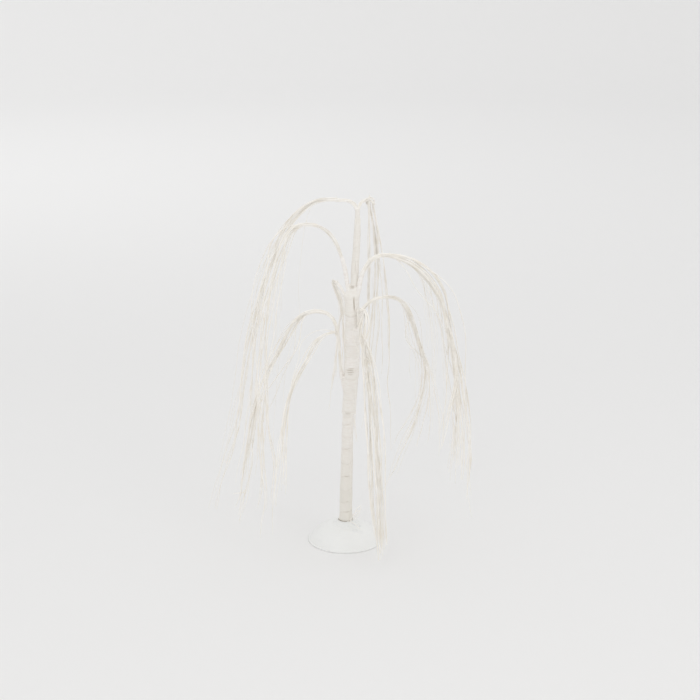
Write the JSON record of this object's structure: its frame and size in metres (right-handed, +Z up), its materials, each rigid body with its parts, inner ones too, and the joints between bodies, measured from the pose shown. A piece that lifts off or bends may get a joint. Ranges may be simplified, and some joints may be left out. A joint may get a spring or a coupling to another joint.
{
  "type": "model weeping willow tree",
  "caption": "Small bare model weeping willow: bundles of pale fibre arch and hang from a slender taped trunk that stands on a low domed base.",
  "frame": {"origin": "centre of the base's flat underside", "axes": "+Z up the trunk, +X to the side the trunk leans to, +Y to the back of the tree"},
  "size_m": [0.1753, 0.1066, 0.233],
  "materials": {
    "base_resin": "smooth satin white cast resin",
    "crepe_tape": "off-white crepe paper tape wound in overlapping turns, matt",
    "fibre": "stiff cream plant fibre, dry and slightly lustrous"
  },
  "bodies": {
    "root": {"base_dome": "base_resin", "trunk": "crepe_tape", "crown_left_rise": "fibre", "crown_left_fall": "fibre", "crown_left_curtain_1": "fibre", "crown_left_curtain_2": "fibre", "crown_left_curtain_3": "fibre", "crown_back_rise": "fibre", "crown_back_fall": "fibre", "crown_back_curtain_1": "fibre", "crown_back_curtain_2": "fibre", "upper_left_rise": "fibre", "upper_left_fall": "fibre", "upper_left_curtain_1": "fibre", "upper_left_curtain_2": "fibre", "upper_right_rise": "fibre", "upper_right_fall": "fibre", "upper_right_curtain_1": "fibre", "upper_right_curtain_2": "fibre", "upper_right_curtain_3": "fibre", "middle_back_rise": "fibre", "middle_back_fall": "fibre", "middle_back_curtain_1": "fibre", "middle_back_curtain_2": "fibre", "middle_right_rise": "fibre", "middle_right_fall": "fibre", "middle_right_curtain_1": "fibre", "middle_right_curtain_2": "fibre", "middle_front_rise": "fibre", "middle_front_fall": "fibre", "middle_front_curtain_1": "fibre", "middle_front_curtain_2": "fibre", "middle_front_curtain_3": "fibre", "lower_left_rise": "fibre", "lower_left_fall": "fibre", "lower_left_curtain_1": "fibre", "lower_left_curtain_2": "fibre", "lower_left_side_fall": "fibre", "lower_left_side_curtain_1": "fibre"}
  },
  "joints": []
}
